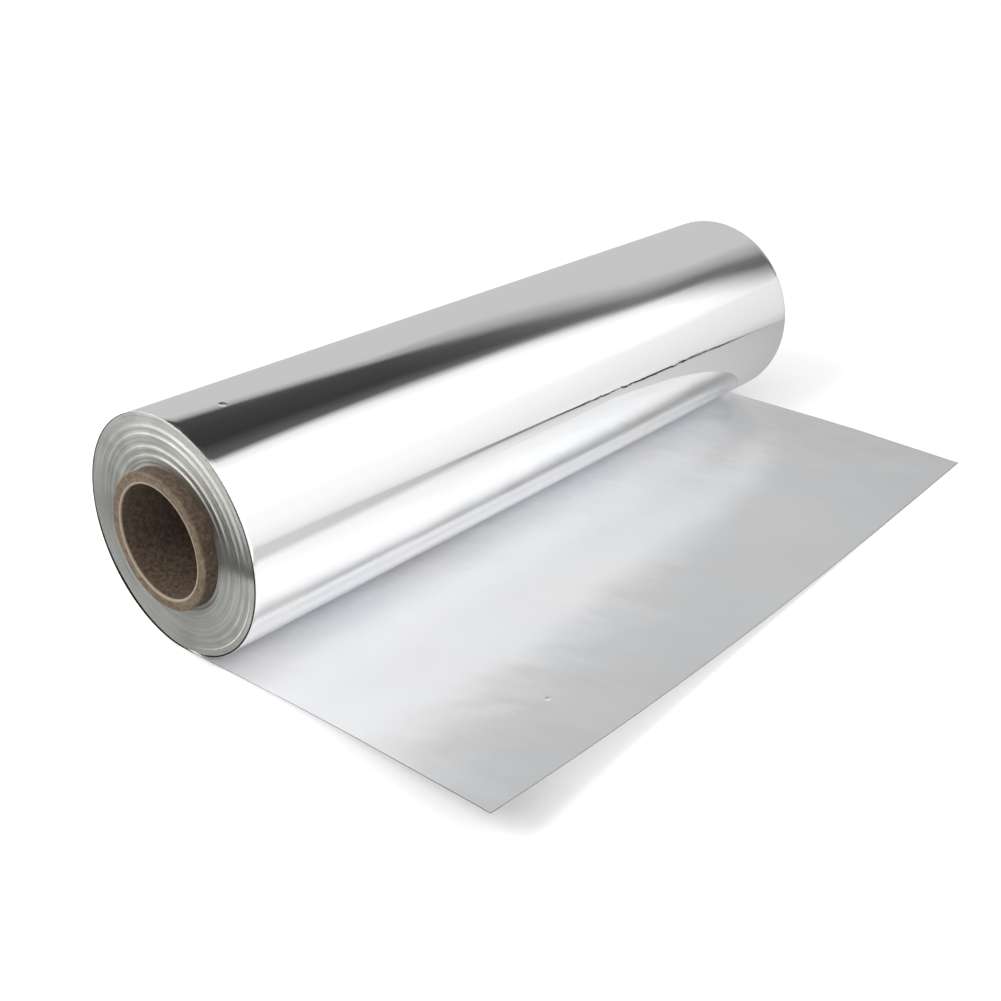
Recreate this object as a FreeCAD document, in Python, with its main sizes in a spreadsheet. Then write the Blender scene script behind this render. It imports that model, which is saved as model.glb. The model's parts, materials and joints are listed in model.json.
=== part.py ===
"""A roll of aluminium foil on a paper tube, lying on a table with its outer end unrolled.

The strip of foil is one piece: a winding of many turns whose last turn leaves the lowest line of
the roll and lies out flat toward the viewer, with the corner at the near end curled up off the
table. The paper tube that it is wound on sticks out a little at both ends.

Frame, in millimetres: X along the roll's axis with the near end at -X, the unrolled sheet toward
-Y and Z up. The origin is on the table, straight below the axis, halfway along the roll.
"""
import FreeCAD, Part
import os
import Sketcher

# Driving dimensions: name, value, what it measures. Lengths are in mm and angles in degrees.
SIZES = [
    ("foil_width", 300, "width of the strip, which is the length of the winding"),
    ("roll_diameter", 78, "outside of the winding"),
    ("settle_depth", 0.2, "how far the roll's weight flattens its lowest line"),
    ("rim_round", 0.6, "rounding of the winding's two rims"),
    ("turn_groups", 13, "groups of turns that show as rings on the winding's ends"),
    ("winding_wander", 0.35, "most that a group of turns is shifted along the axis"),
    ("core_bore", 36.5, "hole through the paper tube"),
    ("core_wall", 3.8, "wall of the paper tube"),
    ("core_stub", 4.4, "length of tube that sticks out at each end of the winding"),
    ("core_edge_bevel", 0.5, "bevel of the tube's cut edges"),
    ("sheet_thickness", 0.3, "unrolled foil, far thicker than the real 0.02"),
    ("near_reach", 133.9, "unrolled length along the sheet's near side"),
    ("far_reach", 127.8, "unrolled length along the sheet's far side"),
    ("sheet_skew", 3.9, "angle between the sheet's sides and a square pull"),
    ("sheet_arch", 1.0, "height of the sheet's middle over a straight line to its free end"),
    ("corner_lift", 12.5, "height of the sheet's near corner over its far corner"),
    ("table_gap", 0.05, "height of the far corner's underside over the table"),
]

# The near corner's curl fades as this power of the distance from it, over this many cross-sections.
CURL_FADE = 3
SECTIONS = 5
# The turn groups' shifts step round this cycle, so that neighbours never line up.
SHIFT_STEP = 2
SHIFT_CYCLE = 5

ROLL_RADIUS = "sizes.roll_diameter / 2"
AXIS_HEIGHT = f"({ROLL_RADIUS} - sizes.settle_depth)"
CORE_RADIUS = "(sizes.core_bore / 2 + sizes.core_wall)"
HALF_WIDTH = "sizes.foil_width / 2"

ORIGIN = -1
VERTICAL_AXIS = -2
START, END, CENTRE = 1, 2, 3
# Two radii this close, in mm, are the same.
SAME = 1e-6

doc = FreeCAD.newDocument("foil_roll")


def make_sizes():
    """The sheet of driving dimensions, one row each."""
    sheet = doc.addObject("Spreadsheet::Sheet", "sizes")
    for row, (name, value, meaning) in enumerate(SIZES, start=1):
        sheet.set(f"A{row}", name)
        sheet.set(f"B{row}", str(value))
        sheet.set(f"C{row}", meaning)
        sheet.setAlias(f"B{row}", name)
    doc.recompute()
    return sheet


def value_of(expression):
    """The number that an expression on the driving dimensions gives."""
    result = sizes.evalExpression(expression.replace("sizes.", ""))
    return float(getattr(result, "Value", result))


def make_body(name):
    """A body centred on the roll's axis, at the axis's height over the table."""
    body = doc.addObject("PartDesign::Body", name)
    body.Label = name
    body.setExpression("Placement.Base.z", AXIS_HEIGHT)
    return body


def make_sketch(body, name, plane_role):
    """A sketch on one of the body's own origin planes."""
    sketch = body.newObject("Sketcher::SketchObject", name)
    planes = {feature.Role: feature for feature in body.Origin.OriginFeatures}
    sketch.AttachmentSupport = (planes[plane_role], "")
    sketch.MapMode = "FlatFace"
    return sketch


def dimension(sketch, kind, *places, size):
    """A dimension of the sketch that follows an expression."""
    index = sketch.addConstraint(Sketcher.Constraint(kind, *places, value_of(size)))
    sketch.setExpression(f"Constraints[{index}]", size)


def circle(sketch, radius):
    """A circle round the sketch's origin."""
    shape = Part.Circle(FreeCAD.Vector(0, 0, 0), FreeCAD.Vector(0, 0, 1), value_of(radius))
    index = sketch.addGeometry(shape)
    sketch.addConstraint(Sketcher.Constraint("Coincident", index, CENTRE, ORIGIN, START))
    dimension(sketch, "Radius", index, size=radius)


def circular_edges(base, radii):
    """The names of the base's circular edges that have one of the radii."""
    wanted = [value_of(radius) for radius in radii]
    edges = []
    for number, edge in enumerate(base.Shape.Edges, start=1):
        if isinstance(edge.Curve, Part.Circle):
            if any(abs(edge.Curve.Radius - radius) < SAME for radius in wanted):
                edges.append(f"Edge{number}")
    return edges


def group_shift(group):
    """How far a group of turns is shifted along the axis, counted from the outermost group."""
    share = group * SHIFT_STEP % SHIFT_CYCLE / (SHIFT_CYCLE - 1)
    return f"{share} * sizes.winding_wander"


def group_radius(group):
    """The outer radius of a group of turns, counted from the outermost."""
    return f"({ROLL_RADIUS} - {group} * ({ROLL_RADIUS} - {CORE_RADIUS}) / sizes.turn_groups)"


def winding_outline():
    """Corners of the winding's half-section, as (end, group, ring) counted round it.

    Every group of turns has the strip's width, so a group that is set back at the near end
    stands proud at the far end by as much.
    """
    groups = int(value_of("sizes.turn_groups"))
    near = [(-1, group, ring) for group in reversed(range(groups)) for ring in (group + 1, group)]
    far = [(1, group, ring) for group in range(groups) for ring in (group, group + 1)]
    return near + far


def make_winding(body):
    """The wound turns, revolved round the axis, with stepped ends and rounded rims."""
    sketch = make_sketch(body, "winding_section", "XZ_Plane")
    corners = winding_outline()
    along = [f"({HALF_WIDTH} + {end} * {group_shift(group)})" for end, group, _ in corners]
    points = [
        FreeCAD.Vector(end * value_of(distance), value_of(group_radius(ring)), 0)
        for (end, _, ring), distance in zip(corners, along)
    ]
    count = len(corners)
    lines = [Part.LineSegment(points[i], points[(i + 1) % count]) for i in range(count)]
    sketch.addGeometry(lines)
    joins = []
    for i in range(count):
        joins.append(Sketcher.Constraint("Coincident", i, END, (i + 1) % count, START))
        joins.append(Sketcher.Constraint("Vertical" if i % 2 == 0 else "Horizontal", i))
    sketch.addConstraint(joins)
    for i, (end, _, ring) in enumerate(corners):
        if i % 2 == 0:
            ends = (i, START, ORIGIN, START) if end < 0 else (ORIGIN, START, i, START)
            dimension(sketch, "DistanceX", *ends, size=along[i])
        else:
            dimension(sketch, "DistanceY", ORIGIN, START, i, START, size=group_radius(ring))
    winding = body.newObject("PartDesign::Revolution", "winding")
    winding.Profile = sketch
    winding.ReferenceAxis = (sketch, ["H_Axis"])
    winding.Angle = 360
    doc.recompute()
    rims = body.newObject("PartDesign::Fillet", "winding_rims")
    rims.Base = (winding, circular_edges(winding, [ROLL_RADIUS]))
    rims.setExpression("Radius", "sizes.rim_round")


def make_resting_flat(body):
    """The narrow flat that the roll's weight presses along its lowest line."""
    sketch = make_sketch(body, "flat_section", "YZ_Plane")
    half, top, depth = value_of(ROLL_RADIUS), -value_of(AXIS_HEIGHT), value_of(ROLL_RADIUS)
    corners = [(-half, top), (half, top), (half, top - depth), (-half, top - depth)]
    points = [FreeCAD.Vector(y, z, 0) for y, z in corners]
    sketch.addGeometry([Part.LineSegment(points[i], points[(i + 1) % 4]) for i in range(4)])
    for i in range(4):
        sketch.addConstraint(Sketcher.Constraint("Coincident", i, END, (i + 1) % 4, START))
    sketch.addConstraint([
        Sketcher.Constraint("Symmetric", 0, START, 0, END, VERTICAL_AXIS),
        Sketcher.Constraint("Horizontal", 2),
        Sketcher.Constraint("Vertical", 1),
        Sketcher.Constraint("Vertical", 3),
    ])
    dimension(sketch, "DistanceX", 0, START, 0, END, size="sizes.roll_diameter")
    dimension(sketch, "DistanceY", 0, START, ORIGIN, START, size=AXIS_HEIGHT)
    dimension(sketch, "DistanceY", 2, START, 0, END, size=ROLL_RADIUS)
    flat = body.newObject("PartDesign::Pocket", "resting_flat")
    flat.Profile = sketch
    flat.SideType = "Symmetric"
    flat.setExpression("Length", "2 * sizes.foil_width")


def sheet_section(body, number):
    """A thin strip's cross-section along the unrolled sheet's pull, from the roll's lowest line out.

    It arches a little over its whole length, as foil does that has just come off a roll.
    """
    share = number / (SECTIONS - 1)
    reach = f"(sizes.near_reach * {1 - share} + sizes.far_reach * {share})"
    lift = f"(sizes.table_gap + sizes.corner_lift * {(1 - share) ** CURL_FADE})"
    root = "sizes.sheet_thickness / 2"
    chord = f"(({reach})^2 + ({lift} - {root})^2)"
    radius = f"({chord} / (8 * sizes.sheet_arch) + sizes.sheet_arch / 2)"

    sketch = make_sketch(body, f"sheet_section_{number + 1}", "YZ_Plane")
    turn = FreeCAD.Rotation(FreeCAD.Vector(0, -1, 0), value_of("sizes.sheet_skew"))
    sketch.AttachmentOffset = FreeCAD.Placement(FreeCAD.Vector(0, 0, 0), turn)
    sketch.setExpression("AttachmentOffset.Base.y", f"-{AXIS_HEIGHT}")
    sketch.setExpression("AttachmentOffset.Base.z", f"{HALF_WIDTH} * {2 * share - 1}")
    sketch.setExpression("AttachmentOffset.Rotation.Angle", "sizes.sheet_skew")

    thickness = FreeCAD.Vector(0, value_of("sizes.sheet_thickness"), 0)
    root_low = FreeCAD.Vector(0, value_of(root), 0)
    tip_low = FreeCAD.Vector(-value_of(reach), value_of(lift), 0)
    middle_low = (root_low + tip_low) / 2 + FreeCAD.Vector(0, value_of("sizes.sheet_arch"), 0)
    sketch.addGeometry([
        Part.LineSegment(root_low, root_low + thickness),
        Part.Arc(root_low + thickness, middle_low + thickness, tip_low + thickness),
        Part.LineSegment(tip_low + thickness, tip_low),
        Part.Arc(root_low, middle_low, tip_low),
    ])
    root_line, upper, tip_line, lower = range(4)
    sketch.addConstraint([
        Sketcher.Constraint("Coincident", root_line, END, upper, START),
        Sketcher.Constraint("Coincident", upper, END, tip_line, START),
        Sketcher.Constraint("Coincident", tip_line, END, lower, END),
        Sketcher.Constraint("Coincident", lower, START, root_line, START),
        Sketcher.Constraint("Vertical", root_line),
        Sketcher.Constraint("Vertical", tip_line),
        Sketcher.Constraint("PointOnObject", root_line, START, VERTICAL_AXIS),
        Sketcher.Constraint("Equal", upper, lower),
    ])
    dimension(sketch, "DistanceY", ORIGIN, START, root_line, START, size=root)
    dimension(sketch, "DistanceY", root_line, START, root_line, END, size="sizes.sheet_thickness")
    dimension(sketch, "DistanceY", tip_line, END, tip_line, START, size="sizes.sheet_thickness")
    dimension(sketch, "DistanceX", tip_line, END, root_line, START, size=reach)
    dimension(sketch, "DistanceY", ORIGIN, START, tip_line, END, size=lift)
    dimension(sketch, "Radius", lower, size=radius)
    return sketch


def make_unrolled_sheet(body):
    """The strip's free end, lofted from its near side to its far side."""
    sections = [sheet_section(body, number) for number in range(SECTIONS)]
    sheet = body.newObject("PartDesign::AdditiveLoft", "unrolled_sheet")
    sheet.Profile = sections[0]
    sheet.Sections = sections[1:]
    sheet.Ruled = False


def make_foil():
    """The strip of foil: the winding, settled on the table, and its unrolled end."""
    body = make_body("foil")
    make_winding(body)
    make_resting_flat(body)
    make_unrolled_sheet(body)
    doc.recompute()
    return body


def make_core():
    """The paper tube, as long as the winding and a stub at each end."""
    body = make_body("cardboard_core")
    sketch = make_sketch(body, "core_section", "YZ_Plane")
    circle(sketch, "sizes.core_bore / 2")
    circle(sketch, CORE_RADIUS)
    tube = body.newObject("PartDesign::Pad", "tube")
    tube.Profile = sketch
    tube.SideType = "Symmetric"
    tube.setExpression("Length", "sizes.foil_width + 2 * sizes.core_stub")
    doc.recompute()
    bevels = body.newObject("PartDesign::Chamfer", "cut_edges")
    bevels.Base = (tube, circular_edges(tube, ["sizes.core_bore / 2", CORE_RADIUS]))
    bevels.setExpression("Size", "sizes.core_edge_bevel")
    doc.recompute()
    return body


def check_model(bodies):
    """Stops if any object failed, or any sub-part isn't one valid solid."""
    for thing in doc.Objects:
        if {"Invalid", "Error"} & set(thing.State):
            raise RuntimeError(f"{thing.Name} failed: {thing.State}")
    for body in bodies:
        shape = body.Shape
        if shape.isNull() or not shape.isValid() or len(shape.Solids) != 1:
            raise RuntimeError(f"{body.Label} isn't one valid solid")


def main():
    bodies = [make_foil(), make_core()]
    check_model(bodies)
    os.makedirs("parts", exist_ok=True)
    for body in bodies:
        body.Shape.exportStep(f"parts/{body.Label}.step")
        box = body.Shape.BoundBox
        print(f"{body.Label}: {body.Shape.Volume:.0f} mm3,",
              f"X {box.XMin:.2f} to {box.XMax:.2f}, Y {box.YMin:.2f} to {box.YMax:.2f},",
              f"Z {box.ZMin:.2f} to {box.ZMax:.2f}")


sizes = make_sizes()
main()
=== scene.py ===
import json
import math

import bpy
import numpy as np
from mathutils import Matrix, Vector


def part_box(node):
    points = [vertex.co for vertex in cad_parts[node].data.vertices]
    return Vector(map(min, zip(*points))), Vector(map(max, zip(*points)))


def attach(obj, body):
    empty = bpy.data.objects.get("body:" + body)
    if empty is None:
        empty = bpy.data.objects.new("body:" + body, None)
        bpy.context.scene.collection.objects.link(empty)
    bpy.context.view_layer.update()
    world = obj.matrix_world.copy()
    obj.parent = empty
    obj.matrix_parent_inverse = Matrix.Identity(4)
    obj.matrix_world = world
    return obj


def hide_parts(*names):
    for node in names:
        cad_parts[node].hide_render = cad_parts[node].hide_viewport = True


# The looks of a roll of aluminium foil. All lengths are in metres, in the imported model's own
# frame: X along the roll's axis with the near end at -X, the unrolled sheet toward -Y and Z up.

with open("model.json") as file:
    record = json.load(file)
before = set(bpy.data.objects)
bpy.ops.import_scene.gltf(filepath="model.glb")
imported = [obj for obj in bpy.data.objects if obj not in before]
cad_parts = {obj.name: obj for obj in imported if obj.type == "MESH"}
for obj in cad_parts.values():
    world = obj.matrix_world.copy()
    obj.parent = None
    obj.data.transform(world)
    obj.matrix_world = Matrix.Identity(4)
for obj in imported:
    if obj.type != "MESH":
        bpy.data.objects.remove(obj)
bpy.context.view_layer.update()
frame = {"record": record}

MM = 0.001
QUARTER_TURN = np.radians((0, 30, 60, 90))

# The foil's materials by their slots on the mesh.
BRIGHT_FOIL, TURN_EDGES, MATTE_FOIL, GAP_SHADE = range(4)

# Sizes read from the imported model.
_, foil_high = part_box("foil")
_, core_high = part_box("cardboard_core")
mounts = {mount["name"]: mount for mount in frame["record"]["mounts"]}
AXIS_HEIGHT = mounts["core_bore"]["pos_m"][2]
ROLL_RADIUS = foil_high.z - AXIS_HEIGHT
CORE_RADIUS = core_high.y
CORE_HALF_LENGTH = core_high.x
BORE_RADIUS = mounts["core_bore"]["dims"]["r_mm"] * MM

# The winding. Groups of its turns are shifted along the axis by turns, and show as rings.
HALF_WIDTH = 150 * MM
AROUND = 288
OUTSIDE_STATIONS = 110
OUTSIDE_MARGIN = 2 * MM
SAG = 0.008 * MM
SAG_WAVES = 9
SAG_LENGTHS = (90 * MM, 25 * MM)
TURN_GROUPS = 13
WINDING_WANDER = 0.2 * MM
SHIFT_STEP = 2
SHIFT_CYCLE = 5
GROUP_PROFILE = (0.15, 0.4, 0.65, 0.9)
GROUP_CROWN = 0.05 * MM
GROUP_SLACK = 0.05 * MM
TURN_STEP = 0.02 * MM
RIM_ROUND = 0.08 * MM

# The outermost turns stand off the others by a narrow gap: its width at angles round the roll.
LIP = 0.12 * MM
LIP_WAVER = 0.015 * MM
LIP_WAVES = 24
LIP_GAP = [
    (0, 0.60 * MM),
    (30, 0.65 * MM),
    (65, 0.20 * MM),
    (100, 0.05 * MM),
    (125, 0.20 * MM),
    (180, 0.42 * MM),
    (222, 1.35 * MM),
    (265, 0.60 * MM),
    (300, 0.40 * MM),
    (360, 0.60 * MM),
]
LIP_GAP_DEPTH = 1.6 * MM
LIP_TEETH = 0.16 * MM
LIP_TEETH_SIDE = math.radians(25)
LIP_TEETH_WAVES = 60
LIP_TEETH_FOCUS = 6
GAP_WALLS = 3

# The unrolled sheet.
SHEET_REACH_NEAR = 133.9 * MM
SHEET_REACH_FAR = 127.8 * MM
SHEET_SKEW = math.radians(3.9)
SHEET_THICKNESS = 0.08 * MM
SHEET_ACROSS = 109
SHEET_ALONG = 75
FAR_ARCH = 1.0 * MM
NEAR_ARCH = 1.6 * MM
CORNER_LIFT = 12.5 * MM
CURL_FADE = 3
CURL_RISE = 1.19
TABLE_GAP = 0.05 * MM
RUMPLE = 0.14 * MM
RUMPLE_WAVES = 14
RUMPLE_LENGTHS = (80 * MM, 9 * MM)
RUMPLE_AT_ENDS = 0.15
RUMPLE_RISE = 6
# Width of the strips along the sheet's cut edges, which are drawn as lines of painted shade.
CUT_EDGE = 0.16 * MM

# The paper tube.
TUBE_AROUND = 180
TUBE_PLIES = 8
PLY_FLAT = (0.15, 0.85)
TUBE_EDGE = 0.5 * MM
PLY_STEP = 0.05 * MM
TUBE_SEAM_PITCH = 95 * MM

# The pit on the roll and the mark on the sheet.
PIT_SHARE = -0.437
PIT_ANGLE = math.radians(80.2)
PIT_SIZE = 1.5 * MM
PIT_DEPTH = 0.2 * MM
MARK_CENTRE = (-106 * MM, -109 * MM, 0)
MARK_SIZE = 1.3 * MM
MARK_DEPTH = 0.15 * MM

# The crinkles on the roll's side: their centre, half spans and size, and the patches they come in.
CRINKLES_CENTRE = (52 * MM, -38 * MM, 46 * MM)
CRINKLES_SPANS = (62 * MM, 20 * MM, 5 * MM)
CRINKLE_SIZE = 1.5 * MM
CRINKLE_DEPTH = 0.028 * MM
CRINKLE_PATCH = 7 * MM

# The bright side: rolling marks and slack turns, as size and depth, and roughness along the marks.
STREAK_SIZE = 1.6 * MM
STREAK_DEPTH = 0.0022 * MM
SLACK_SIZE = 24 * MM
SLACK_DEPTH = 0.02 * MM
BRIGHT_ROUGHNESS = (0.06, 0.085)

# The turns' edges: fine and wide rings, as size and depth, how far a ring keeps its tone round the
# roll, and roughness.
RING_SIZE = 0.35 * MM
RING_DEPTH = 0.02 * MM
RING_ROUND = 0.4 * MM
WIDE_RING_SIZE = 1.2 * MM
WIDE_RING_DEPTH = 0.09 * MM
EDGE_PATCH = 7 * MM
EDGE_ROUGHNESS = (0.44, 0.54)

# The matte side: rumples and rolling grain, as size and depth, sizes of its tints and roughness.
RUMPLE_SIZE = 13 * MM
RUMPLE_DEPTH = 0.11 * MM
GRAIN_SIZE = 0.8 * MM
GRAIN_DEPTH = 0.003 * MM
BLOTCH_SIZE = 38 * MM
TINT_SIZE = 55 * MM
MATTE_ROUGHNESS = (0.285, 0.325)

# The board: fibres and its spiral seam, as size and depth, its plies and stains, the light edge
# round the bore, how deep the cut ends look torn, and roughness.
FIBRE_SIZE = 1.3 * MM
FIBRE_DEPTH = 0.12 * MM
SEAM_SHARE = 0.012
SEAM_DEPTH = 0.1 * MM
PLY_SIZE = 0.45 * MM
PLY_ROUND = 1.5 * MM
STAIN_SIZE = 5 * MM
LIGHT_EDGE = (0.95 * MM, 0.5 * MM)
TORN_DEPTH = (0.9 * MM, 0.2 * MM)
BOARD_ROUGHNESS = (0.75, 0.95)

# Colours, each pair the two that a noise blends.
BRIGHT_TONES = ((0.95, 0.95, 0.958, 1), (0.965, 0.963, 0.965, 1))
RING_TONES = ((0.70, 0.715, 0.67, 1), (0.88, 0.89, 0.85, 1))
DULL_EDGE = (0.70, 0.70, 0.69, 1)
# Painted shade: near-black tones for the gap under the outermost turns and the sheet's cut edges.
PAINTED_SHADE_TONES = ((0.008, 0.008, 0.008, 1), (0.03, 0.03, 0.03, 1))
MATTE_TONES = ((0.94, 0.942, 0.95, 1), (0.975, 0.975, 0.98, 1))
MATTE_TINT = (0.93, 0.957, 0.975, 1)
SKIN_TONES = ((0.045, 0.030, 0.022, 1), (0.115, 0.083, 0.058, 1))
TORN_TONES = ((0.075, 0.053, 0.034, 1), (0.20, 0.155, 0.108, 1))
PLY_TONE = (0.095, 0.072, 0.05, 1)
STAIN_TONE = (0.085, 0.06, 0.038, 1)
LIGHT_EDGE_TONE = (0.33, 0.28, 0.21, 1)
TABLE_TONE = (0.93, 0.93, 0.93, 1)

# The camera, where the photographer's was.
CAMERA_PLACE = Vector((-342.24, -292.05, 214.26)) * MM
CAMERA_TARGET = Vector((-6.39, -7.17, 0)) * MM
LENS = 45.77

random = np.random.default_rng(7)


def on_roll(x, radius, phi):
    """Points at an angle round the roll: 0 faces the sheet's side, 90 degrees is the top."""
    y = -radius * np.cos(phi)
    z = AXIS_HEIGHT + radius * np.sin(phi)
    return np.stack(np.broadcast_arrays(x, y, z), axis=-1)


def grid_faces(rows, columns, close_rows=False, close_columns=False, first=0):
    """Quads between the neighbours of a grid of vertices, numbered row by row."""
    row = np.arange(rows if close_rows else rows - 1)
    column = np.arange(columns if close_columns else columns - 1)
    row, column = np.meshgrid(row, column, indexing="ij")
    row, column = row.ravel(), column.ravel()
    next_row, next_column = (row + 1) % rows, (column + 1) % columns
    corners = [
        row * columns + column,
        row * columns + next_column,
        next_row * columns + next_column,
        next_row * columns + column,
    ]
    return first + np.stack(corners, axis=-1)


def make_object(name, points, faces, face_slots, materials, crease=35):
    """A mesh object that rides with the roll, smooth except over its creases."""
    mesh = bpy.data.meshes.new(name)
    mesh.from_pydata(points.tolist(), [], faces.tolist())
    mesh.polygons.foreach_set("material_index", face_slots)
    for material in materials:
        mesh.materials.append(material)
    mesh.shade_smooth()
    mesh.set_sharp_from_angle(angle=math.radians(crease))
    mesh.validate()
    piece = bpy.data.objects.new(name, mesh)
    bpy.context.scene.collection.objects.link(piece)
    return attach(piece, "root")


def wobble(phi, amplitude, waves=5):
    """A smooth closed curve of random waves round the roll."""
    total = np.zeros_like(phi)
    for wave in range(1, waves + 1):
        phase = random.uniform(0, 2 * math.pi)
        total += random.normal(0, 1 / wave) * np.sin(wave * phi + phase)
    return amplitude * total


def waves(along, across, count, lengths, amplitude):
    """A soft random surface: crossed waves between two lengths, longer ones higher."""
    longest, shortest = lengths
    total = np.zeros_like(along)
    for length in np.geomspace(longest, shortest, count):
        heading = random.uniform(0, math.pi)
        phase = random.uniform(0, 2 * math.pi)
        distance = along * math.cos(heading) + across * math.sin(heading)
        total += length / longest * np.sin(2 * math.pi * distance / length + phase)
    return amplitude * total / math.sqrt(count)


def camera():
    """The camera at the photograph's viewing angle."""
    data = bpy.data.cameras.new("camera")
    data.lens = LENS
    eye = bpy.data.objects.new("camera", data)
    eye.location = CAMERA_PLACE
    eye.rotation_euler = (CAMERA_TARGET - CAMERA_PLACE).to_track_quat("-Z", "Y").to_euler()
    bpy.context.scene.collection.objects.link(eye)
    bpy.context.scene.camera = eye


def end_rows(phi, end):
    """Rows of one end of the winding from its rim in to the tube, as (x, radii round it)."""
    rows = []
    for angle in QUARTER_TURN:
        x = HALF_WIDTH - RIM_ROUND * (1 - math.sin(angle))
        radius = ROLL_RADIUS - RIM_ROUND * (1 - math.cos(angle))
        rows.append((end * x, np.full_like(phi, radius)))
    angles, widths = zip(*LIP_GAP)
    gap = np.interp(np.degrees(phi), angles, widths)
    toothed = np.maximum(np.cos(phi - LIP_TEETH_SIDE), 0) ** LIP_TEETH_FOCUS
    teeth = toothed * np.abs(wobble(phi, LIP_TEETH, LIP_TEETH_WAVES))
    lip = ROLL_RADIUS - LIP + wobble(phi, LIP_WAVER, LIP_WAVES)
    behind = lip - gap - teeth
    edge = end * HALF_WIDTH
    bottom = end * (HALF_WIDTH - LIP_GAP_DEPTH)
    rows += [(edge, lip), (bottom, lip), (bottom, behind)]
    group_width = (ROLL_RADIUS - CORE_RADIUS) / TURN_GROUPS
    face = HALF_WIDTH - 2 * GROUP_CROWN
    rows.append((end * face, behind))
    for group in range(TURN_GROUPS):
        shift = group * SHIFT_STEP % SHIFT_CYCLE / (SHIFT_CYCLE - 1) * WINDING_WANDER
        outer = ROLL_RADIUS - group * group_width
        slack = GROUP_SLACK if 0 < group < TURN_GROUPS - 1 else 0
        outermost = group == 0
        parts = GROUP_PROFILE[-1:] if outermost else GROUP_PROFILE
        for part in parts:
            radii = np.minimum(outer - part * group_width + wobble(phi, slack), behind - TURN_STEP)
            crown = GROUP_CROWN * math.sin(math.pi * part)
            x = end * (face + crown) + shift + TURN_STEP * random.uniform(-1, 1)
            rows.append((x, radii))
    return rows


def winding():
    """Vertices, faces and slots of the wound turns, with the stepped rings on both ends."""
    phi = np.linspace(0, 2 * math.pi, AROUND, endpoint=False)
    near = list(reversed(end_rows(phi, -1)))
    far = end_rows(phi, 1)
    reach = HALF_WIDTH - OUTSIDE_MARGIN
    stations = np.linspace(-reach, reach, OUTSIDE_STATIONS)
    around, along = np.meshgrid(phi * ROLL_RADIUS, stations)
    sag = waves(along, around, SAG_WAVES, SAG_LENGTHS, SAG)
    outside = [(x, ROLL_RADIUS + row) for x, row in zip(stations, sag - sag.max())]
    profile = near + outside + far
    points = np.array([on_roll(x, radii, phi) for x, radii in profile])
    points[..., 2] = np.maximum(points[..., 2], 0)
    faces = grid_faces(len(profile), AROUND, close_rows=True, close_columns=True)
    slot_of_row = np.full(len(profile), TURN_EDGES)
    far_rim = len(near) + len(outside)
    slot_of_row[len(near) - 1:far_rim] = BRIGHT_FOIL
    far_gap = far_rim + len(QUARTER_TURN)
    near_gap = len(near) - len(QUARTER_TURN) - 1
    # The walls of the gap under the outermost turns carry the painted shade.
    slot_of_row[far_gap:far_gap + GAP_WALLS] = GAP_SHADE
    slot_of_row[near_gap - GAP_WALLS:near_gap] = GAP_SHADE
    return points.reshape(-1, 3), faces, np.repeat(slot_of_row, AROUND)


def parabola(share):
    """0 at both ends and 1 half way."""
    return 4 * share * (1 - share)


def sheet_height(across, along):
    """Height of the unrolled sheet's underside, at shares of its width and of its pull."""
    lift = CORNER_LIFT * (1 - across) ** CURL_FADE
    arch = NEAR_ARCH + (FAR_ARCH - NEAR_ARCH) * across
    return TABLE_GAP + lift * along ** CURL_RISE + arch * parabola(along)


def unrolled_sheet(first):
    """Vertices, faces and slots of the strip's free end, a thin closed shell."""
    edge = CUT_EDGE / (2 * HALF_WIDTH)
    across = np.concatenate([[0], np.linspace(edge, 1 - edge, SHEET_ACROSS), [1]])
    along = np.concatenate([np.linspace(0, 1 - CUT_EDGE / SHEET_REACH_NEAR, SHEET_ALONG), [1]])
    across, along = np.meshgrid(across, along, indexing="ij")
    reach = SHEET_REACH_NEAR * (1 - across) + SHEET_REACH_FAR * across
    x = HALF_WIDTH * (2 * across - 1) - math.sin(SHEET_SKEW) * reach * along
    y = -math.cos(SHEET_SKEW) * reach * along
    rumple = waves(x, y, RUMPLE_WAVES, RUMPLE_LENGTHS, RUMPLE)
    rumple *= np.minimum(RUMPLE_RISE * along * (1 - along) + RUMPLE_AT_ENDS, 1)
    rumple -= rumple.min()
    low = np.stack([x, y, sheet_height(across, along) + rumple], axis=-1)
    high = low + np.array([0, 0, SHEET_THICKNESS])
    rows, columns = across.shape
    count = rows * columns
    top = grid_faces(rows, columns, first=first + count)
    bottom = grid_faces(rows, columns, first=first)[:, ::-1]
    number = np.arange(count).reshape(rows, columns)
    loop = np.concatenate([number[:-1, 0], number[-1, :-1], number[:0:-1, -1], number[0, :0:-1]])
    following = np.roll(loop, -1)
    rim = first + np.stack([loop, following, following + count, loop + count], axis=-1)
    points = np.concatenate([low.reshape(-1, 3), high.reshape(-1, 3)])
    faces = np.concatenate([top, bottom, rim])
    top_slots = np.full((rows - 1, columns - 1), MATTE_FOIL)
    # The strips along the sheet's side and end edges carry painted shade: thin dark lines.
    top_slots[[0, -1]] = GAP_SHADE
    top_slots[:, -1] = GAP_SHADE
    bottom_slots = np.full(len(bottom), BRIGHT_FOIL)
    rim_slots = np.full(len(rim), TURN_EDGES)
    return points, faces, np.concatenate([top_slots.ravel(), bottom_slots, rim_slots])


def foil(materials):
    """The strip of foil: the winding and its unrolled end."""
    wound, wound_faces, wound_slots = winding()
    flat, flat_faces, flat_slots = unrolled_sheet(first=len(wound))
    points = np.concatenate([wound, flat])
    faces = np.concatenate([wound_faces, flat_faces])
    slots = np.concatenate([wound_slots, flat_slots])
    piece = make_object("foil_strip", points, faces, slots, materials)
    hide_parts("foil")


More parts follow.
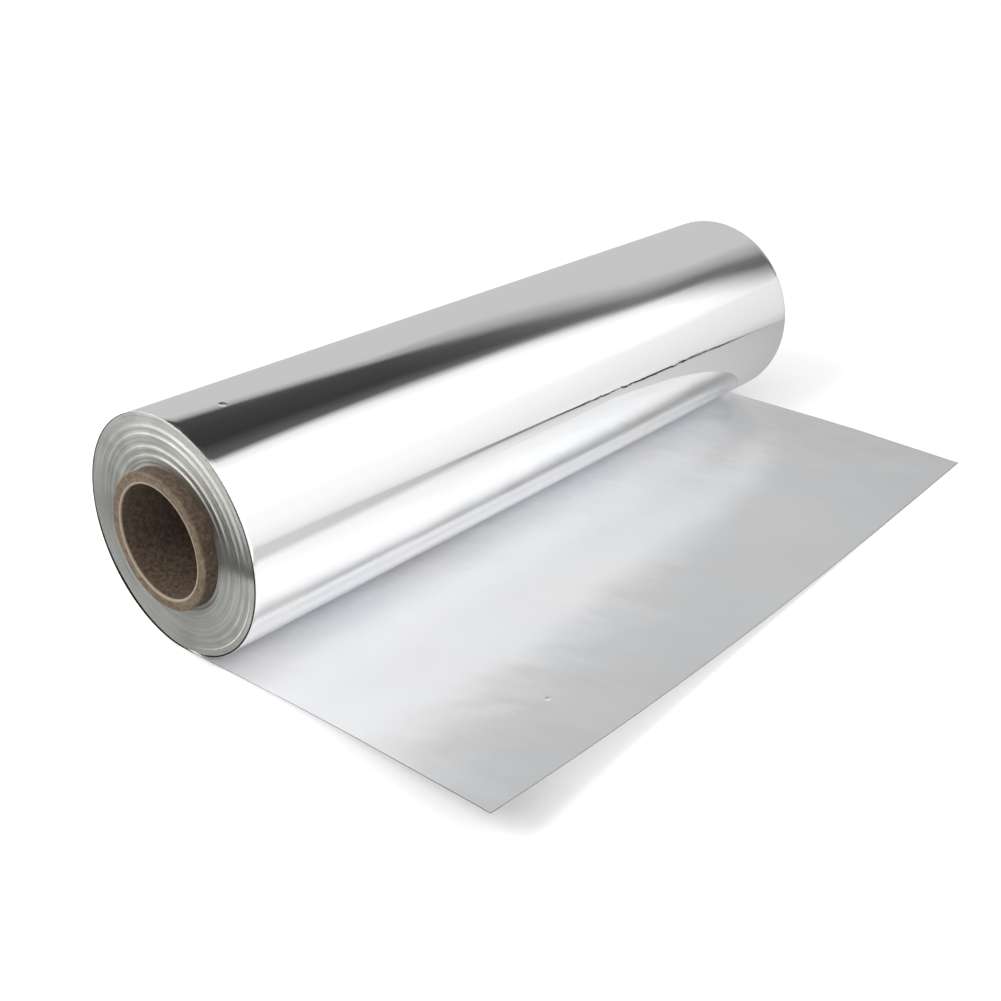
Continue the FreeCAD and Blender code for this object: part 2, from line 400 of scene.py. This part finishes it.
def core(material):
    """The paper tube, with the steps of its plies on the cut ends."""
    phi = np.linspace(0, 2 * math.pi, TUBE_AROUND, endpoint=False)
    cut = CORE_RADIUS - BORE_RADIUS - 2 * TUBE_EDGE
    section = []
    for angle in QUARTER_TURN:
        inset = TUBE_EDGE * (1 - math.cos(angle))
        section.append((CORE_HALF_LENGTH - TUBE_EDGE * (1 - math.sin(angle)), CORE_RADIUS - inset))
    for ply in range(TUBE_PLIES):
        step = PLY_STEP * random.uniform(0, 1)
        for part in PLY_FLAT:
            share = (ply + part) / TUBE_PLIES
            section.append((CORE_HALF_LENGTH - step, CORE_RADIUS - TUBE_EDGE - share * cut))
    for angle in QUARTER_TURN[::-1]:
        inset = TUBE_EDGE * (1 - math.cos(angle))
        section.append((CORE_HALF_LENGTH - TUBE_EDGE * (1 - math.sin(angle)), BORE_RADIUS + inset))
    profile = section + [(-x, radius) for x, radius in reversed(section)]
    rows = [on_roll(x, radius, phi) for x, radius in profile]
    faces = grid_faces(len(rows), len(phi), close_rows=True, close_columns=True)
    points = np.array(rows).reshape(-1, 3)
    piece = make_object("paper_tube", points, faces, np.zeros(len(faces), int), [material])
    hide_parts("cardboard_core")


def new_material(name):
    """A new material and its shader."""
    material = bpy.data.materials.new(name)
    material.use_nodes = True
    return material, material.node_tree.nodes["Principled BSDF"]


def feed(material, socket, value):
    """Links another socket to a socket, or sets its value."""
    if isinstance(value, bpy.types.NodeSocket):
        material.node_tree.links.new(value, socket)
    else:
        socket.default_value = value


def node(material, kind, inputs, **settings):
    """Adds a node, with its inputs by name or number."""
    added = material.node_tree.nodes.new("ShaderNode" + kind)
    for name, value in settings.items():
        setattr(added, name, value)
    for key, value in inputs.items():
        feed(material, added.inputs[key], value)
    return added


def set_shader(material, shader, **values):
    """Sets or links the shader's sockets; an underscore in a name stands for a space."""
    for name, value in values.items():
        feed(material, shader.inputs[name.replace("_", " ")], value)


def place_in(material, scale=(1, 1, 1), centre=(0, 0, 0)):
    """The place on the object from a centre, stretched along its axes."""
    place = node(material, "TexCoord", {}).outputs["Object"]
    if any(centre):
        place = node(material, "VectorMath", {0: place, 1: centre}, operation="SUBTRACT").outputs[0]
    return node(material, "VectorMath", {0: place, 1: scale}, operation="MULTIPLY").outputs[0]


def distance_from(material, centre, scale=(1, 1, 1)):
    """The distance from a point, stretched along the axes."""
    place = place_in(material, scale, tuple(float(value) for value in centre))
    return node(material, "VectorMath", {0: place}, operation="LENGTH").outputs["Value"]


def noise(material, place, size, detail=3, roughness=0.5, normalize=True):
    """Noise whose features are about a size across."""
    inputs = {"Vector": place, "Scale": 1 / size, "Detail": detail, "Roughness": roughness}
    return node(material, "TexNoise", inputs, normalize=normalize).outputs["Fac"]


def ramp(material, value, low, high, at_low=0, at_high=1):
    """A smooth change from one number to another as a value goes from low to high."""
    inputs = {"Value": value, "From Min": low, "From Max": high, "To Min": at_low, "To Max": at_high}
    return node(material, "MapRange", inputs, interpolation_type="SMOOTHSTEP").outputs["Result"]


def rings_round(material, reach, size, detail, roughness=0.5):
    """Noise that changes fast across the turns and slowly round them."""
    radius, angle = from_axis(material)
    along = maths(material, "MULTIPLY", angle, reach)
    stretched = node(material, "CombineXYZ", {"X": radius, "Y": along})
    return noise(material, stretched.outputs[0], size, detail, roughness)


def maths(material, operation, first, second=0.0):
    """The result of a sum on one or two numbers."""
    return node(material, "Math", {0: first, 1: second}, operation=operation).outputs[0]


def blend(material, share, first, second):
    """A colour between two others."""
    mixed = node(material, "Mix", {0: share, 6: first, 7: second}, data_type="RGBA")
    return mixed.outputs[2]


def bumped(material, height, depth, under=None):
    """The normal of a surface raised by up to a depth."""
    inputs = {"Height": height, "Distance": depth}
    if under is not None:
        inputs["Normal"] = under
    return node(material, "Bump", inputs).outputs["Normal"]


def from_axis(material):
    """The distance from the roll's axis and the angle round it."""
    across = place_in(material, (0, 1, 1), (0, 0, AXIS_HEIGHT))
    radius = node(material, "VectorMath", {0: across}, operation="LENGTH").outputs["Value"]
    parts = node(material, "SeparateXYZ", {0: across})
    return radius, maths(material, "ARCTAN2", parts.outputs["Z"], parts.outputs["Y"])


def crinkled(material):
    """The height of the crinkles on the roll's side, in patches round their centre."""
    reach = [1 / span for span in CRINKLES_SPANS]
    near = ramp(material, distance_from(material, CRINKLES_CENTRE, reach), 1, 0.5)
    crinkles = noise(material, place_in(material, (0.45, 1, 1)), CRINKLE_SIZE, 3, 0.6)
    patches = noise(material, place_in(material, (0.6, 0.4, 1)), CRINKLE_PATCH, 1)
    crinkles = maths(material, "MULTIPLY", crinkles, near)
    return maths(material, "MULTIPLY", crinkles, ramp(material, patches, 0.48, 0.62))


def bright_foil():
    """The strip's bright side, with rolling marks that run round the roll, a pit and crinkles."""
    material, shader = new_material("bright_foil")
    tangent = node(material, "Tangent", {}, direction_type="RADIAL", axis="X")
    streaks = noise(material, place_in(material, (0.03, 1, 1)), STREAK_SIZE, 2)
    slack = noise(material, place_in(material, (0.5, 1, 1)), SLACK_SIZE, 2)
    normal = bumped(material, slack, SLACK_DEPTH)
    normal = bumped(material, streaks, STREAK_DEPTH, normal)
    pit = on_roll(PIT_SHARE * 2 * HALF_WIDTH, ROLL_RADIUS, PIT_ANGLE)
    rim = ramp(material, distance_from(material, pit), 0, PIT_SIZE)
    normal = bumped(material, rim, PIT_DEPTH, normal)
    normal = bumped(material, crinkled(material), CRINKLE_DEPTH, normal)
    set_shader(
        material, shader,
        Base_Color=blend(material, slack, *BRIGHT_TONES),
        Metallic=1,
        Roughness=ramp(material, streaks, 0.35, 0.7, *BRIGHT_ROUGHNESS),
        Anisotropic=0.8,
        Anisotropic_Rotation=0.25,
        Tangent=tangent.outputs["Tangent"],
        Normal=normal,
    )
    return material


def turn_edges():
    """The cut edges of the turns, fine rings on the winding's ends."""
    material, shader = new_material("turn_edges")
    tangent = node(material, "Tangent", {}, direction_type="RADIAL", axis="X")
    rings = rings_round(material, RING_ROUND, RING_SIZE, 4, 0.6)
    wide_rings = rings_round(material, RING_ROUND, WIDE_RING_SIZE, 1)
    patches = noise(material, place_in(material), EDGE_PATCH, 3)
    tone = blend(material, ramp(material, rings, 0.3, 0.7), *RING_TONES)
    tone = blend(material, ramp(material, patches, 0.35, 0.75, 0, 0.4), tone, DULL_EDGE)
    normal = bumped(material, wide_rings, WIDE_RING_DEPTH)
    normal = bumped(material, rings, RING_DEPTH, normal)
    set_shader(
        material, shader,
        Base_Color=tone,
        Metallic=1,
        Roughness=ramp(material, patches, 0.3, 0.7, *EDGE_ROUGHNESS),
        Anisotropic=0.9,
        Anisotropic_Rotation=0.25,
        Tangent=tangent.outputs["Tangent"],
        Normal=normal,
    )
    return material


def gap_shade():
    """Painted shade, near black and dull: walls deep under the outermost turns, and the sheet's cut edges.
    """
    material, shader = new_material("gap_shade")
    tone = blend(material, noise(material, place_in(material), 3 * MM), *PAINTED_SHADE_TONES)
    set_shader(material, shader, Base_Color=tone, Roughness=0.9, Specular_IOR_Level=0)
    return material


def matte_foil():
    """The strip's matte side, softly rumpled and faintly tinted."""
    material, shader = new_material("matte_foil")
    blotches = noise(material, place_in(material), BLOTCH_SIZE, 2)
    tints = noise(material, place_in(material, (1, 1, 1), (1, 1, 0)), TINT_SIZE, 1)
    rumples = noise(material, place_in(material, (1, 0.6, 1)), RUMPLE_SIZE, 3, 0.45, normalize=False)
    grain = noise(material, place_in(material, (1, 0.05, 1)), GRAIN_SIZE, 2)
    tone = blend(material, ramp(material, blotches, 0.35, 0.65), *MATTE_TONES)
    tone = blend(material, ramp(material, tints, 0.4, 0.65, 0, 0.6), tone, MATTE_TINT)
    normal = bumped(material, rumples, RUMPLE_DEPTH)
    normal = bumped(material, grain, GRAIN_DEPTH, normal)
    mark = ramp(material, distance_from(material, MARK_CENTRE, (1, 1, 0)), 0, MARK_SIZE)
    normal = bumped(material, mark, MARK_DEPTH, normal)
    set_shader(
        material, shader,
        Base_Color=tone,
        Metallic=1,
        Roughness=ramp(material, blotches, 0.3, 0.7, *MATTE_ROUGHNESS),
        Normal=normal,
    )
    return material


def torn_board(material, fibres):
    """The colour of the tube's cut ends: fibres, plies and stains, and a light edge at the bore."""
    plies = rings_round(material, PLY_ROUND, PLY_SIZE, 2)
    stains = noise(material, place_in(material), STAIN_SIZE, 2)
    torn = blend(material, ramp(material, fibres, 0.3, 0.7), *TORN_TONES)
    torn = blend(material, ramp(material, plies, 0.35, 0.65, 0, 0.45), torn, PLY_TONE)
    torn = blend(material, ramp(material, stains, 0.35, 0.7, 0, 0.5), torn, STAIN_TONE)
    radius, _ = from_axis(material)
    outer, inner = LIGHT_EDGE
    light_edge = ramp(material, radius, BORE_RADIUS + outer, BORE_RADIUS + inner, 0, 0.7)
    return blend(material, light_edge, torn, LIGHT_EDGE_TONE)


def spiral_seam(material, along):
    """The height of the tube's inner ply beside its spiral seam."""
    _, angle = from_axis(material)
    turn = maths(material, "DIVIDE", angle, 2 * math.pi)
    turns = maths(material, "ADD", maths(material, "DIVIDE", along, TUBE_SEAM_PITCH), turn)
    return ramp(material, maths(material, "FRACT", turns), 0, SEAM_SHARE)


def kraft_board():
    """The tube's brown board: fibrous where it is cut, with a light edge, and darker inside."""
    material, shader = new_material("kraft_board")
    along = node(material, "SeparateXYZ", {0: place_in(material)}).outputs["X"]
    deep, shallow = TORN_DEPTH
    from_middle = maths(material, "ABSOLUTE", along)
    cut = ramp(material, from_middle, CORE_HALF_LENGTH - deep, CORE_HALF_LENGTH - shallow)
    fibres = noise(material, place_in(material), FIBRE_SIZE, 5, 0.65)
    skin = blend(material, ramp(material, fibres, 0.3, 0.7), *SKIN_TONES)
    normal = bumped(material, fibres, FIBRE_DEPTH)
    normal = bumped(material, spiral_seam(material, along), SEAM_DEPTH, normal)
    set_shader(
        material, shader,
        Base_Color=blend(material, cut, skin, torn_board(material, fibres)),
        Roughness=ramp(material, fibres, 0.3, 0.7, *BOARD_ROUGHNESS),
        Specular_IOR_Level=0.25,
        Normal=normal,
    )
    return material


def mirrored(x, phi):
    """Where the camera's ray meets the roll, and the direction in which it leaves."""
    angle = math.radians(phi)
    normal = Vector((0, -math.cos(angle), math.sin(angle)))
    place = Vector((x, 0, AXIS_HEIGHT)) + ROLL_RADIUS * normal
    seen = (place - CAMERA_PLACE).normalized()
    return place, seen.reflect(normal)


def mirrored_at_height(share, phi, height):
    """The point at a height that the camera sees in the roll, at a share of its length."""
    place, leaving = mirrored(share * 2 * HALF_WIDTH, phi)
    return place + leaving * (height - place.z) / leaving.z


def card(name, columns):
    """A studio card, seen only in reflections, so it neither stands in the view nor shades the set.

    Each column is a list of (place, glow), with as many places in every column.
    """
    places = [place for column in columns for place, _ in column]
    faces = grid_faces(len(columns), len(columns[0]))
    mesh = bpy.data.meshes.new(name)
    mesh.from_pydata(places, [], faces.tolist())
    glows = [glow for column in columns for _, glow in column]
    mesh.attributes.new("glow", "FLOAT", "POINT").data.foreach_set("value", glows)
    material = bpy.data.materials.new(name)
    material.use_nodes = True
    material.node_tree.nodes.clear()
    strength = node(material, "Attribute", {}, attribute_name="glow")
    emission = node(material, "Emission", {"Strength": strength.outputs["Fac"]})
    node(material, "OutputMaterial", {"Surface": emission.outputs["Emission"]})
    mesh.materials.append(material)
    board = bpy.data.objects.new(name, mesh)
    board.visible_camera = False
    board.visible_diffuse = False
    board.visible_shadow = False
    bpy.context.scene.collection.objects.link(board)


# Glow of the studio and its cards, where 1 is a white that just fills the picture's range.
ROOM_WHITE = 1.08
CARD_WHITE = 1.02
NEAR_STRIP_WHITE = 1.15
CARD_GREY = 0.576
SIDE_GREY = 0.42
SHADE_DARK = 0.02
LAMP_TOP = 6.5
LAMP_POWER = 7
LAMP_PLACE = Vector((-850, 240, 800)) * MM
LAMP_SIZE = 500 * MM
CARD_HEIGHT = 300 * MM
TABLE_HALF_SIZE = 6
TABLE_DROP = 0.05 * MM

# Angles round the roll, in degrees, at which it mirrors the front card's top and the grey card's
# top and rear edge.
FRONT_CARD_PHI = 26
TOP_PHI = 90
REAR_PHI = 96

# How the overhead card's tones change: the white's fade in degrees and its last share of glow, what
# the dark strip's edges and middle add to its glow, and where the grey behind it has its knee.
WHITE_FADE = 5
WHITE_END = 0.86
STRIP_FRONT = 0.09
STRIP_MIDDLE = 0.01
STRIP_REAR = 0.03
STRIP_MIDDLE_AT = 0.3
KNEE_AT = 0.35
KNEE_GREY = 0.62

# The table behind the roll: angle round the roll and glow.
REAR_TABLE = ((106, 0.58), (110, 0.61), (116, 0.85))

# The table's lip at the gap, a strip of painted shade: its width in degrees and largest glow, how far
# the table's tone takes to settle, how far it reaches, and the height of the card that stands for it.
LIP_WIDTH = 0.1
LIP_GLOW = 0.64
TABLE_FADE = 3
TABLE_REACH = 55
TABLE_CARD_HEIGHT = 0.02 * MM

# The front card's foot, darker as painted shade where it meets the table: height and share of the white.
FRONT_FOOT = ((24 * MM, 0.87), (64 * MM, 0.93), (105 * MM, 0.98))

# Across the shade card, in mm from the middle of its dark strip, from front to rear.
SHADE_ACROSS = (-300, -50, -25, 20, 45, 400)

# The side cards, in mm: where each stands, between which places, and its height.
SIDE_X, SIDE_SPAN, SIDE_HEIGHT = 450, (-140, 120), 160
LEFT_X, LEFT_HEIGHT = -600, 1300
REAR_Y, REAR_SPAN, REAR_HEIGHT = 450, (-240, -20), 420
TOP_HEIGHT, TOP_SPAN, TOP_DEPTH = 500, (-350, 0), (150, 550)

# The overhead card as it shows in the roll, at shares of the roll's length: the angles round the
# roll where its white part ends, where the dark strip begins and ends and where the grey part
# begins, and the strip's glow.
OVERHEAD = [
    (-0.62, 51.0, 53.8, 79.5, 84.5, 0.025),
    (-0.50, 51.0, 53.8, 79.0, 84.0, 0.025),
    (-0.40, 51.8, 54.8, 76.0, 80.5, 0.03),
    (-0.25, 51.0, 54.8, 71.0, 76.0, 0.035),
    (-0.10, 50.0, 53.3, 64.5, 76.0, 0.06),
    (0.05, 47.5, 51.3, 57.0, 71.0, 0.11),
    (0.20, 44.8, 47.6, 51.0, 62.0, 0.17),
    (0.35, 39.0, 45.5, 50.0, 60.0, 0.14),
    (0.45, 33.0, 41.5, 47.5, 61.0, 0.11),
    (0.60, 29.0, 37.0, 44.0, 61.0, 0.11),
    (0.80, 28.0, 36.0, 42.0, 60.0, 0.15),
    (2.00, 28.0, 36.0, 42.0, 60.0, 0.20),
]

# The table's end as it shows in the roll: share of the roll's length, angle round the roll, glow
# and half width of the gap there, a painted shadow line, and glow of the card's foot beyond it and of the
# table before it.
TABLE_END = [
    (-0.60, 10.6, 0.66, 2.4, 0.74, 1.02),
    (-0.42, 10.4, 0.64, 2.2, 0.74, 1.02),
    (-0.25, 10.0, 0.55, 1.3, 0.78, 0.94),
    (-0.15, 9.9, 0.30, 0.7, 0.84, 0.84),
    (-0.05, 9.6, 0.08, 0.45, 0.88, 0.76),
    (0.05, 8.6, 0.01, 0.45, 0.88, 0.73),
    (0.20, 7.1, 0.00, 0.50, 0.76, 0.62),
    (0.33, 5.6, 0.05, 0.45, 0.66, 0.56),
    (0.40, 4.8, 0.40, 0.35, 0.60, 0.52),
    (0.47, 3.6, 0.48, 0.35, 0.58, 0.48),
    (0.60, 1.5, 0.48, 0.35, 0.58, 0.46),
    (0.90, -2.0, 0.48, 0.35, 0.58, 0.46),
]

# The shade card, painted shade on the table, in mm: distance from the roll's end and middle of the dark
# shadow strip there, and glow of the card in front of the strip and behind it.
SHADE = [
    (0, 106, 0.15, 0.02),
    (38, 68, 0.12, 0.06),
    (46, 60, 0.20, 0.95),
    (88, 18, 0.20, 1.05),
    (98, 8, 0.35, 0.68),
    (350, -244, 0.45, 0.63),
]

# The left card: place along the table in mm, and glow.
LEFT_CARD = [
    (-300, 0.55),
    (180, 0.90),
    (220, 0.05),
    (390, 0.05),
    (430, 3.2),
    (780, 4.0),
    (820, 1.5),
    (1100, 1.5),
]


def card_grey(share):
    """The glow of the overhead card's grey, darker past the roll's far end."""
    return float(np.interp(share, (0.6, 0.8), (CARD_GREY, SIDE_GREY)))


def overhead_card():
    """A card over the roll: white in front, grey behind, with a dark strip between them."""
    columns = []
    for share, white_end, dark_from, dark_to, grey_from, dark in OVERHEAD:
        white = CARD_WHITE * float(np.interp(share, (0.2, 0.45), (1, 0.75)))
        grey = card_grey(share)
        knee = dark_to + KNEE_AT * (grey_from - dark_to)
        fade_from = white_end - WHITE_FADE
        steps = [
            (FRONT_CARD_PHI, front_white(share)),
            (0.5 * (FRONT_CARD_PHI + fade_from), NEAR_STRIP_WHITE * white),
            (fade_from, NEAR_STRIP_WHITE * white),
            (white_end, WHITE_END * white),
            (dark_from, dark + STRIP_FRONT),
            (dark_from + STRIP_MIDDLE_AT * (dark_to - dark_from), dark + STRIP_MIDDLE),
            (dark_to, dark + STRIP_REAR),
            (knee, KNEE_GREY * CARD_GREY),
            (grey_from, grey),
            (TOP_PHI, grey),
            (REAR_PHI, grey),
        ]
        columns.append([(mirrored_at_height(share, phi, CARD_HEIGHT), glow) for phi, glow in steps])
    card("overhead_card", columns)


def back_card():
    """The grey card's fall to the table behind the roll, which is lighter beside the roll."""
    columns = []
    for share, *_ in OVERHEAD:
        grey = card_grey(share)
        top = mirrored_at_height(share, REAR_PHI, CARD_HEIGHT)
        column = [(top, grey), (Vector((top.x, top.y, 0)), grey)]
        column += [(mirrored_at_height(share, phi, 0), glow) for phi, glow in REAR_TABLE]
        columns.append(column)
    card("back_card", columns)


def table_card():
    """The table in front, greyer toward its end, painted shade at its lip, and the dark gap beyond it, a
    painted shadow line.
    """
    columns = []
    for share, phi, gap, width, _, table in TABLE_END:
        lip = phi - width
        steps = [
            (phi + width, gap),
            (lip, gap),
            (lip - LIP_WIDTH, min(LIP_GLOW, table)),
            (lip - TABLE_FADE, table),
            (lip - TABLE_REACH, table),
        ]
        columns.append([(mirrored_at_height(share, turn, TABLE_CARD_HEIGHT), glow) for turn, glow in steps])
    card("table_card", columns)


def front_white(share):
    """The glow of the front card's white, which falls off toward the roll's far end and past it."""
    return CARD_WHITE * float(np.interp(share, (-0.25, 0.45, 0.6, 0.9), (1, 0.86, 0.8, 0.62)))


def front_card():
    """A white card standing beyond the table's end, up to the overhead card."""
    columns = []
    for share, phi, _, width, foot_glow, _ in TABLE_END:
        foot = mirrored_at_height(share, phi + width, 0)
        white = front_white(share)
        column = [(foot, foot_glow)]
        column += [(foot + Vector((0, 0, height)), part * white) for height, part in FRONT_FOOT]
        column.append((mirrored_at_height(share, FRONT_CARD_PHI, CARD_HEIGHT), white))
        columns.append(column)
    card("front_card", columns)


def side_card():
    """A low grey card across the end of the sheet, off the roll's far end."""
    columns = []
    for y in SIDE_SPAN:
        columns.append([(Vector((SIDE_X, y, height)) * MM, SIDE_GREY) for height in (0, SIDE_HEIGHT)])
    card("side_card", columns)


def shade_card():
    """Painted shade: a grey card on the table left of the near end, with a dark painted shadow strip to the
    front.
    """
    columns = []
    for gap, middle, front, rear in SHADE:
        x = -HALF_WIDTH - gap * MM
        glows = (front, front, SHADE_DARK, SHADE_DARK, rear, rear)
        steps = zip(SHADE_ACROSS, glows)
        columns.append([(Vector((x, (middle + side) * MM, 0)), glow) for side, glow in steps])
    card("shade_card", columns)


def left_cards():
    """A card left of the roll's near end, brightest toward the back, and a grey one behind it."""
    columns = []
    for y, glow in LEFT_CARD:
        columns.append([(Vector((LEFT_X, y, height)) * MM, glow) for height in (0, LEFT_HEIGHT)])
    card("left_card", columns)
    columns = []
    for x in REAR_SPAN:
        columns.append([(Vector((x, REAR_Y, height)) * MM, SIDE_GREY) for height in (0, REAR_HEIGHT)])
    card("rear_left_card", columns)


def top_card():
    """A bright card above the sheet's near side."""
    columns = []
    for x in TOP_SPAN:
        columns.append([(Vector((x, y, TOP_HEIGHT)) * MM, LAMP_TOP) for y in TOP_DEPTH])
    card("top_card", columns)


def soft_lamp():
    """A soft lamp over the near end's left, which the foil doesn't mirror."""
    data = bpy.data.lights.new("soft_lamp", "AREA")
    data.energy = LAMP_POWER
    data.size = LAMP_SIZE
    lamp = bpy.data.objects.new("soft_lamp", data)
    lamp.location = LAMP_PLACE
    lamp.rotation_euler = (-LAMP_PLACE).to_track_quat("-Z", "Y").to_euler()
    lamp.visible_glossy = False
    bpy.context.scene.collection.objects.link(lamp)


def table():
    """The pale table that the roll lies on."""
    mesh = bpy.data.meshes.new("table")
    sides = ((-1, -1), (1, -1), (1, 1), (-1, 1))
    corners = [(TABLE_HALF_SIZE * x, TABLE_HALF_SIZE * y, 0) for x, y in sides]
    mesh.from_pydata(corners, [], [(0, 1, 2, 3)])
    top = bpy.data.objects.new("table", mesh)
    material, shader = new_material("table")
    set_shader(material, shader, Base_Color=TABLE_TONE, Roughness=0.9)
    mesh.materials.append(material)
    bpy.context.scene.collection.objects.link(top)
    top.location.z = -TABLE_DROP


def studio():
    """A pale table in an evenly lit white room, with cards for the foil to mirror."""
    scene = bpy.context.scene
    scene.view_settings.view_transform = "Standard"
    scene.cycles.glossy_bounces = 10
    world = bpy.data.worlds.new("white_room")
    world.use_nodes = True
    world.node_tree.nodes["Background"].inputs["Color"].default_value = (1, 1, 1, 1)
    world.node_tree.nodes["Background"].inputs["Strength"].default_value = ROOM_WHITE
    scene.world = world
    table()
    overhead_card()
    back_card()
    table_card()
    front_card()
    side_card()
    shade_card()
    left_cards()
    top_card()
    soft_lamp()


camera()
studio()
foil([bright_foil(), turn_edges(), matte_foil(), gap_shade()])
core(kraft_board())
